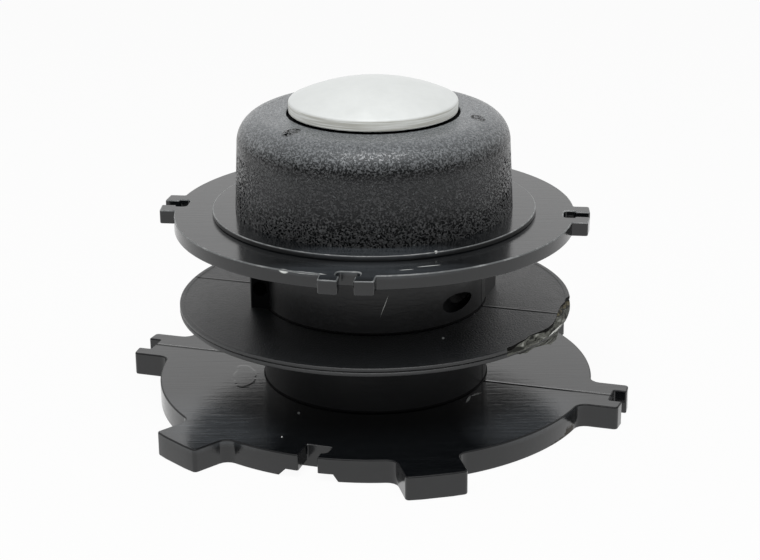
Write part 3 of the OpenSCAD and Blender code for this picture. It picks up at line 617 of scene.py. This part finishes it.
drum = {"bore": 19.0, "lower": 21.75, "upper": 21.4, "foot": 0.35, "under": 0.3, "lowerFrom": 4.6, "webLow": 18.7, "webHigh": 20.1,
        "rimLow": 18.6, "rimHigh": 20.2, "rim": 37.85, "bead": 0.34, "ceiling": 35.1, "deckHole": 13.0,
        "passageRadius": 1.5, "passageOffset": 18.9, "passageUp": 3.8, "mouthRadius": 1.75, "mouthOffset": 19.0,
        "bossSide": 21.0, "bossEnd": 12.9}


def makeDrum(f):
    bm = bmesh.new()
    sunk = 0.015       # fillets end a hair inside the flanges, so that they join without a gap
    foot, roof = f["lowerFrom"] - sunk, f["ceiling"] + sunk
    middle = (f["rimLow"] + f["rimHigh"]) / 2
    inner = f["bore"] - 2
    points = [(inner, 3), (f["lower"] + 1, 3), (f["lower"] + 1, foot), (f["lower"], foot), (f["lower"], f["webLow"]),
              (f["rim"] - 1.05, f["webLow"]), (f["rim"] - 0.9, f["rimLow"]), (f["rim"], f["rimLow"]), (f["rim"], middle - 0.12),
              (f["rim"] - 0.3, middle), (f["rim"], middle + 0.12), (f["rim"], f["rimHigh"]), (f["rim"] - 0.9, f["rimHigh"]),
              (f["rim"] - 1.05, f["webHigh"]), (f["upper"], f["webHigh"]), (f["upper"], roof), (f["upper"] + 1, roof),
              (f["upper"] + 1, roof + 1.2), (inner, roof + 1.2)]
    roundings = {(f["lower"], foot): (f["foot"], 6), (f["lower"], f["webLow"]): (f["under"], 4), (f["upper"], f["webHigh"]): (f["foot"], 6),
                 (f["upper"], roof): (f["under"], 4)}
    for corner in ((f["rim"], f["rimLow"]), (f["rim"], middle - 0.12), (f["rim"], middle + 0.12), (f["rim"], f["rimHigh"])):
        roundings[corner] = (f["bead"] * 0.7, 3)
    for corner in ((f["rim"] - 0.9, f["rimLow"]), (f["rim"] - 0.9, f["rimHigh"])):
        roundings[corner] = (0.12, 2)
    spinProfile(bm, points, roundings, steps=240)
    return makeObject("drum", bm, flangeGloss)


def makeBosses(f):
    bm = bmesh.new()
    for turn in (0, math.pi):
        made = addBlock(bm, (f["bore"] - 2, 1, f["webHigh"] - 0.8), (f["bossSide"], f["bossEnd"], f["ceiling"] + 1), turn)
        nose = [e for v in made for e in v.link_edges if abs(e.verts[0].co.z - e.verts[1].co.z) > 1
                and math.hypot(v.co.x, v.co.y) > f["bossSide"] + 2]
        bmesh.ops.bevel(bm, geom=list(set(nose)), affect="EDGES", offset=0.35, segments=3, profile=0.5, material=-1)
    return makeObject("bosses", bm, flangeGloss)


def makePassages(f):
    bm = bmesh.new()
    z = f["rimHigh"] + f["passageUp"]
    for side in (-1, 1):
        addRod(bm, f["passageRadius"], (side * f["passageOffset"], -25, z), (side * f["passageOffset"], 25, z), segments=48)
    low = f["lowerFrom"] + f["passageUp"]
    addRod(bm, f["passageRadius"], (-f["passageOffset"], 0, low), (-f["passageOffset"], 25, low), segments=48)
    # the passages' walls are painted near-black as painted shade
    return makeObject("passages", bm, paintedShadeNylon)


def makeMouths(f):
    # the line has worn the passages a little wider where it leaves
    bm = bmesh.new()
    z = f["rimHigh"] + f["passageUp"]
    for side in (-1, 1):
        addRod(bm, f["mouthRadius"], (side * f["mouthOffset"], side * -25, z), (side * f["mouthOffset"], side * -4, z), segments=48)
    # the mouths' walls are painted near-black as painted shade
    return makeObject("passage_mouths", bm, paintedShadeNylon)


# the torn stretch of the middle flange's rim

tear = {"edge": [(-33.5, 37.9), (-32.5, 37.1), (-30.5, 37.1), (-26, 36.5), (-23.5, 36.5), (-20.5, 36.1), (-16, 36.6), (-12, 37.1),
                 (-8.5, 37.0), (-4, 36.6), (0.5, 36.2), (6.5, 36.2), (10, 36.8), (13, 37.0), (15.5, 37.9)],
        "slopeRadius": 35.8, "footHeight": 0.3,
        "hang": [(-30, 0.1), (-27, 0.6), (-24, 0.9), (-21, 0.6), (-18, 0.9), (-14, 1.4), (-11, 2.1), (-7.5, 2.3), (-4.5, 1.8),
                 (-4, 0.4), (0, 0.1)], "shredThickness": 0.5, "shredRadius": 37.3}


def makeTearCutter(f, d):
    # all above a slope and outside a ragged edge goes
    bm = bmesh.new()
    first, last = f["edge"][0][0], f["edge"][-1][0]
    plan = [polar(r, a) for a, r in f["edge"]] + [polar(d["rim"] + 2, last + (first - last) * i / 6) for i in range(7)]
    face = bm.faces.new([bm.verts.new((x, y, d["rimLow"] - 1)) for x, y in plan])
    pulled = bmesh.ops.extrude_face_region(bm, geom=[face])["geom"]
    bmesh.ops.translate(bm, vec=(0, 0, 4), verts=[g for g in pulled if isinstance(g, bmesh.types.BMVert)])
    bmesh.ops.recalc_face_normals(bm, faces=bm.faces)
    cutter = makeObject("tear_cutter", bm, torn)
    slope = bmesh.new()
    spinProfile(slope, [(f["slopeRadius"], d["rimHigh"]), (d["rim"] + 0.1, d["rimLow"] + f["footHeight"]),
                        (d["rim"] + 4, d["rimLow"] + f["footHeight"]), (d["rim"] + 4, d["rimHigh"] + 1),
                        (f["slopeRadius"], d["rimHigh"] + 1)], {}, steps=360)
    # the torn slope is uneven by a tenth or two
    for vert in slope.verts:
        if vert.co.z < d["rimHigh"] + 0.5:
            vert.co.z += 0.16 * noise.noise(vert.co * 0.9) + 0.08 * noise.noise(vert.co * 2.3)
    carve(cutter, ("INTERSECT", makeObject("tear_slope", slope, torn)))
    return cutter


def makeShred(f, d):
    # a strip of the rim's skin, bent down, with a ragged lower edge
    bm = bmesh.new()
    first, last = f["hang"][0][0], f["hang"][-1][0]
    top = d["rimLow"] + 0.55
    column = [bm.verts.new((f["shredRadius"], 0, top - 0.2 * i)) for i in range(9)]
    edges = [bm.edges.new(pair) for pair in zip(column, column[1:])]
    bmesh.ops.rotate(bm, cent=(0, 0, 0), matrix=Matrix.Rotation(math.radians(first), 3, "Z"), verts=column)
    bmesh.ops.spin(bm, geom=column + edges, cent=(0, 0, 0), axis=(0, 0, 1), dvec=(0, 0, 0), angle=math.radians(last - first),
                   steps=90, use_merge=False, use_normal_flip=False, use_duplicate=False)
    for vert in bm.verts:
        angle = math.degrees(math.atan2(vert.co.y, vert.co.x))
        depth = f["hang"][-1][1]
        for (a0, h0), (a1, h1) in zip(f["hang"], f["hang"][1:]):
            if a0 <= angle <= a1:
                depth = h0 + (h1 - h0) * (angle - a0) / (a1 - a0)
        down = (top - vert.co.z) / 1.6
        ragged = 0.18 * noise.noise(Vector((angle * 0.9, 3.1, 0))) * down
        vert.co.z = top - down * (top - d["rimLow"] + depth + ragged)
        push = 1 + down * (0.14 * noise.noise(vert.co * 0.8) - 0.1 * down) / f["shredRadius"]
        vert.co.x *= push
        vert.co.y *= push
    bmesh.ops.recalc_face_normals(bm, faces=bm.faces)
    bmesh.ops.solidify(bm, geom=bm.faces[:], thickness=f["shredThickness"])
    bmesh.ops.recalc_face_normals(bm, faces=bm.faces)
    return makeObject("rim_shred", bm, torn)


# spool body assembled

spool = makeToothedFlange(toothed)
lugFlange = makeObject("lugged_flange", drawPlate(luggedCorners(lugged), lugged["low"], lugged["high"], lugged["topEdge"],
                                                 lugged["bottomEdge"]), flangeGloss)
inside = bmesh.new()
addRod(inside, drum["bore"], (0, 0, -1), (0, 0, drum["ceiling"]), segments=192)
opening = bmesh.new()
addRod(opening, drum["deckHole"], (0, 0, 30), (0, 0, 40), segments=128)
carve(spool, ("UNION", lugFlange), ("UNION", makeDrum(drum)), ("UNION", makeBosses(drum)),
      ("DIFFERENCE", makeObject("drum_inside", inside, flangeGloss)), ("DIFFERENCE", makeObject("deck_opening", opening, flangeGloss)),
      ("DIFFERENCE", makePassages(drum)), ("DIFFERENCE", makeMouths(drum)), ("DIFFERENCE", makeTearCutter(tear, drum)))
spool.name = spool.data.name = "spool_moulding"
clearNeedles(spool.data)
# the middle flange has a fine matt grain, the line has rubbed the drums, and edges are painted pale, as wear and
# painted highlight; bosses' ends, drum foot fillets and the tear's steep faces get painted shade
for material in (webMatt, lineRubbed, lineRubbedDull, wornEdgeAndHighlight, tearShade, gapGrimeAndShade):
    spool.data.materials.append(material)
places = {material.name: i for i, material in enumerate(spool.data.materials)}
for polygon in spool.data.polygons:
    c, n = polygon.center, polygon.normal
    radius = math.hypot(c.x, c.y)
    if spool.data.materials[polygon.material_index] == torn:
        # the tear's steep faces take the painted-shade copy of the torn nylon
        if abs(n.z) < 0.5:
            polygon.material_index = places[tearShade.name]
    elif spool.data.materials[polygon.material_index] != paintedShadeNylon and toothed["height"] < c.z < lugged["low"]:
        # the bosses' blunt ends are painted near-black: painted shade
        if abs(abs(c.y) - drum["bossEnd"]) < 0.02 and abs(n.y) > 0.9 and abs(c.x) > drum["bore"] - 2:
            polygon.material_index = places[paintedShadeNylon.name]
        # the drums' foot fillets are painted near-black: painted shade
        elif 0.1 < n.z < 0.99 and drum["upper"] < radius < drum["lower"] + drum["foot"]:
            polygon.material_index = places[gapGrimeAndShade.name]
        elif radius > drum["lower"] + 0.9 and drum["rimLow"] - 0.05 < c.z < drum["rimHigh"] + 0.05:
            polygon.material_index = places[webMatt.name]
        elif radius > drum["bore"] + 0.5:
            polygon.material_index = places[(lineRubbedDull if c.z < drum["rimLow"] else lineRubbed).name]
    # the upper flange's rounded top edge is painted pale: wear, and a painted highlight
    elif c.z > lugged["high"] - lugged["topEdge"] and 0.1 < n.z < 0.97:
        polygon.material_index = places[wornEdgeAndHighlight.name]
    elif radius > drum["rim"] and c.z < toothed["height"] and 0.1 < n.z < 0.97:
        polygon.material_index = places[lineRubbedDull.name]
finishPiece(spool, "root", turn=partingTurn, cutMaterial=paintedShadeNylon)
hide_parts("spool_body")
shred = finishPiece(makeShred(tear, drum), "root", turn=partingTurn)
print("spool body made:", len(spool.data.polygons), "faces")


# bump knob

knob = {"stepRadius": 30.9, "stepLow": 37.8, "stepHigh": 38.8, "foot": 26.5, "shoulder": 25.9, "shoulderRounding": 5.4, "top": 56.95,
        "crown": 57.1, "seatRadius": 16.35, "seatFloor": 56.1, "wall": 2.3, "socket": 4.0, "socketFloor": 51.3, "boreTop": 49.5,
        "bore": 6.5, "tube": 9.0, "tubeFoot": 5.0, "ribs": 4, "ribThickness": 1.4,
        "legOuter": 12.95, "legThickness": 1.7, "legFoot": 33.3, "hook": 1.1, "hookTop": 35.05, "legTop": 42.8, "legSweep": 34}


def makeKnob(f):
    bm = bmesh.new()
    shoulderZ = f["top"] - f["shoulderRounding"]
    ceiling = f["top"] - f["wall"]
    points = [(0, f["boreTop"]), (f["bore"], f["boreTop"]), (f["bore"], f["tubeFoot"]), (f["tube"], f["tubeFoot"]), (f["tube"], ceiling),
              (f["shoulder"] - f["wall"], ceiling), (f["foot"] - f["wall"], f["stepHigh"]), (f["foot"] - f["wall"], f["stepLow"]),
              (f["stepRadius"], f["stepLow"]), (f["stepRadius"], f["stepHigh"]), (f["foot"], f["stepHigh"]), (f["shoulder"], shoulderZ),
              (f["shoulder"], f["top"]), (f["seatRadius"], f["crown"]), (f["seatRadius"], f["seatFloor"]),
              (f["socket"], f["seatFloor"]), (f["socket"], f["socketFloor"]), (0, f["socketFloor"])]
    roundings = {(f["shoulder"] - f["wall"], ceiling): (f["shoulderRounding"] - f["wall"], 8), (f["stepRadius"], f["stepHigh"]): (0.22, 3),
                 (f["stepRadius"], f["stepLow"]): (0.2, 2),
                 (f["shoulder"], f["top"]): (f["shoulderRounding"] - 0.05, 14), (f["seatRadius"], f["crown"]): (0.3, 3)}
    spinProfile(bm, points, roundings, steps=240, closed=False)
    shell = makeObject("bump_knob_moulding", bm, knobGrain, flangeGloss, paintedShadeNylon, wornEdgeAndHighlight)
    inside = bmesh.new()
    for k in range(f["ribs"]):
        turn = math.tau * k / f["ribs"]
        addBlock(inside, (f["tube"] - 0.3, -f["ribThickness"] / 2, f["stepLow"] + 0.02),
                 (f["shoulder"] - 1.6, f["ribThickness"] / 2, f["top"] - 2.05), turn)
        inner = f["legOuter"] - f["legThickness"]
        addSweptFace(inside, [(inner, f["legFoot"]), (f["legOuter"], f["legFoot"]), (f["legOuter"] + f["hook"], f["hookTop"] - 0.5),
                              (f["legOuter"] + f["hook"], f["hookTop"]), (f["legOuter"], f["hookTop"]), (f["legOuter"], f["legTop"]),
                              (inner, f["legTop"])], turn - math.radians(f["legSweep"] / 2), math.radians(f["legSweep"]), 10)
    bmesh.ops.recalc_face_normals(inside, faces=inside.faces)
    return shell, makeObject("bump_knob_ribs", inside, flangeGloss)


knobPiece, knobRibs = makeKnob(knob)
for polygon in knobPiece.data.polygons:
    c = polygon.center
    radius = math.hypot(c.x, c.y)
    if c.z > knob["seatFloor"] - 0.01 and radius < knob["seatRadius"] + 0.05:
        # the seat under the disc is painted near-black: painted shade
        polygon.material_index = 2
    elif c.z < knob["stepHigh"] - 0.005 and radius > knob["stepRadius"] - 0.3 and polygon.normal.z > 0.3:
        # the step's rounded edge is painted pale: wear, and a painted highlight
        polygon.material_index = 3
    elif c.z < knob["stepHigh"] + 0.05 or radius < knob["shoulder"] - 1.5 and polygon.normal.z < 0.5 and c.z < knob["crown"] - 1:
        polygon.material_index = 1
finishPiece(knobPiece, "root", turn=partingTurn)
finishPiece(knobRibs, "root", turn=partingTurn)
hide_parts("bump_knob")
print("bump knob made:", len(knobPiece.data.polygons), "faces")


# wear disc

disc = {"radius": 16.0, "foot": 13.5, "seat": 56.1, "rimLow": 57.3, "rimTop": 59.45, "domeHeight": 3.65, "spigot": 4.0,
        "spigotFoot": 51.3}


def makeDisc(f):
    bm = bmesh.new()
    domeRadius = (f["radius"] ** 2 + f["domeHeight"] ** 2) / (2 * f["domeHeight"])
    centre = f["rimTop"] + f["domeHeight"] - domeRadius
    sweep = math.asin(f["radius"] / domeRadius)
    start = bm.verts.new((0, 0, centre + domeRadius))
    bmesh.ops.spin(bm, geom=[start], cent=(0, 0, centre), axis=(0, 1, 0), dvec=(0, 0, 0), angle=sweep, steps=28,
                   use_merge=False, use_normal_flip=False, use_duplicate=False)
    arc = sorted(((v.co.x, v.co.z) for v in bm.verts), key=lambda p: p[0])
    bm.clear()
    points = arc + [(f["radius"], f["rimLow"]), (f["foot"], f["rimLow"]), (f["foot"], f["seat"]), (f["spigot"], f["seat"]), (f["spigot"], f["spigotFoot"]), (0, f["spigotFoot"])]
    spinProfile(bm, points, {(arc[-1][0], arc[-1][1]): (0.3, 4), (f["radius"], f["rimLow"]): (0.25, 3)}, steps=240, closed=False)
    piece = makeObject("wear_disc_metal", bm, discMetal, gapGrimeAndShade, rimMetalWithHighlight)
    for polygon in piece.data.polygons:
        # the disc's underside and foot are painted near-black: grease and dust, and painted shade in the gap
        if polygon.center.z < f["rimLow"] + 0.02 and math.hypot(polygon.center.x, polygon.center.y) < f["radius"] - 0.26:
            polygon.material_index = 1
        # the rim takes the turned metal, painted paler as a painted highlight
        elif abs(polygon.normal.z) < 0.4:
            polygon.material_index = 2
    return piece


discPiece = finishPiece(makeDisc(disc), "root")
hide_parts("wear_disc")
print("wear disc made")


# floor, light and camera

studio = {"floor": "#f6f6f4", "world": 0.2, "overheadWatts": 3.05, "leftWatts": 0.15}

ground = bmesh.new()
bmesh.ops.create_grid(ground, x_segments=1, y_segments=1, size=3000)
bmesh.ops.translate(ground, vec=(0, 0, -0.02), verts=ground.verts)
paper, tree, place = newMaterial("matt_white_paper")
seen = addNode(tree, "ShaderNodeLightPath")
either = addNode(tree, "ShaderNodeMath", {"operation": "MAXIMUM"}, {0: seen.outputs["Is Camera Ray"], 1: seen.outputs["Is Glossy Ray"]})
share = addNode(tree, "ShaderNodeMath", {"operation": "MULTIPLY", 1: 0.94}, {0: either.outputs["Value"]})
sheet = addNode(tree, "ShaderNodeBsdfDiffuse", {"Color": linear(studio["floor"])})
glow = addNode(tree, "ShaderNodeEmission", {"Color": (1, 1, 1, 1), "Strength": 1.0})
blend = addNode(tree, "ShaderNodeMixShader", links={0: share.outputs["Value"], 1: sheet.outputs["BSDF"], 2: glow.outputs["Emission"]})
addNode(tree, "ShaderNodeOutputMaterial", links={"Surface": blend.outputs["Shader"]})
floor = makeObject("floor", ground, paper)
floor.data.transform(Matrix.Scale(mm, 4))

world = bpy.data.worlds.new("white_studio")
scene.world = world
world.use_nodes = True
tree = world.node_tree
tree.nodes.clear()
seen = addNode(tree, "ShaderNodeLightPath")
direct = addNode(tree, "ShaderNodeMath", {"operation": "MAXIMUM"}, {0: seen.outputs["Is Camera Ray"], 1: seen.outputs["Is Glossy Ray"]})
direct = addNode(tree, "ShaderNodeMath", {"operation": "MAXIMUM"}, {0: direct.outputs["Value"], 1: seen.outputs["Is Transmission Ray"]})
strength = addNode(tree, "ShaderNodeMapRange", {"To Min": studio["world"], "To Max": 1.0}, {"Value": direct.outputs["Value"]})
white = addNode(tree, "ShaderNodeBackground", {"Color": (1, 1, 1, 1)}, {"Strength": strength.outputs["Result"]})
addNode(tree, "ShaderNodeOutputWorld", links={"Surface": white.outputs["Background"]})


def addSoftbox(name, position, aim, size, watts):
    lamp = bpy.data.lights.new(name, "AREA")
    lamp.shape, lamp.size, lamp.size_y, lamp.energy = "RECTANGLE", size[0], size[1], watts
    obj = bpy.data.objects.new(name, lamp)
    obj.location = position
    obj.rotation_euler = (Vector(aim) - Vector(position)).to_track_quat("-Z", "Y").to_euler()
    scene.collection.objects.link(obj)


addSoftbox("softbox_overhead", (0, -0.26, 0.62), (0, 0, 0.03), (0.5, 0.42), studio["overheadWatts"])
addSoftbox("softbox_left", (-0.6, 0.25, 0.28), (0, 0, 0.03), (0.35, 0.3), studio["leftWatts"])

# the camera stands where the photograph was taken, tilted half a degree
camera = {"position": (0.0010, -0.3539, 0.1509), "pitch": 19.841, "roll": 0.486, "lens": 91.74, "sensor": 36.0}
lens = bpy.data.cameras.new("photo_camera")
lens.lens, lens.sensor_width, lens.sensor_fit = camera["lens"], camera["sensor"], "HORIZONTAL"
lens.clip_start, lens.clip_end = 0.01, 20
viewer = bpy.data.objects.new("photo_camera", lens)
p, t = math.radians(camera["pitch"]), math.radians(camera["roll"])
forward = Vector((0, math.cos(p), -math.sin(p)))
right, up = Vector((1, 0, 0)), Vector((0, math.sin(p), math.cos(p)))
axisX = math.cos(t) * right - math.sin(t) * up
axisY = math.sin(t) * right + math.cos(t) * up
viewer.matrix_world = Matrix.Translation(camera["position"]) @ Matrix((axisX, axisY, -forward)).transposed().to_4x4()
scene.collection.objects.link(viewer)
scene.camera = viewer
scene.view_settings.view_transform = "Standard"
print("studio set")
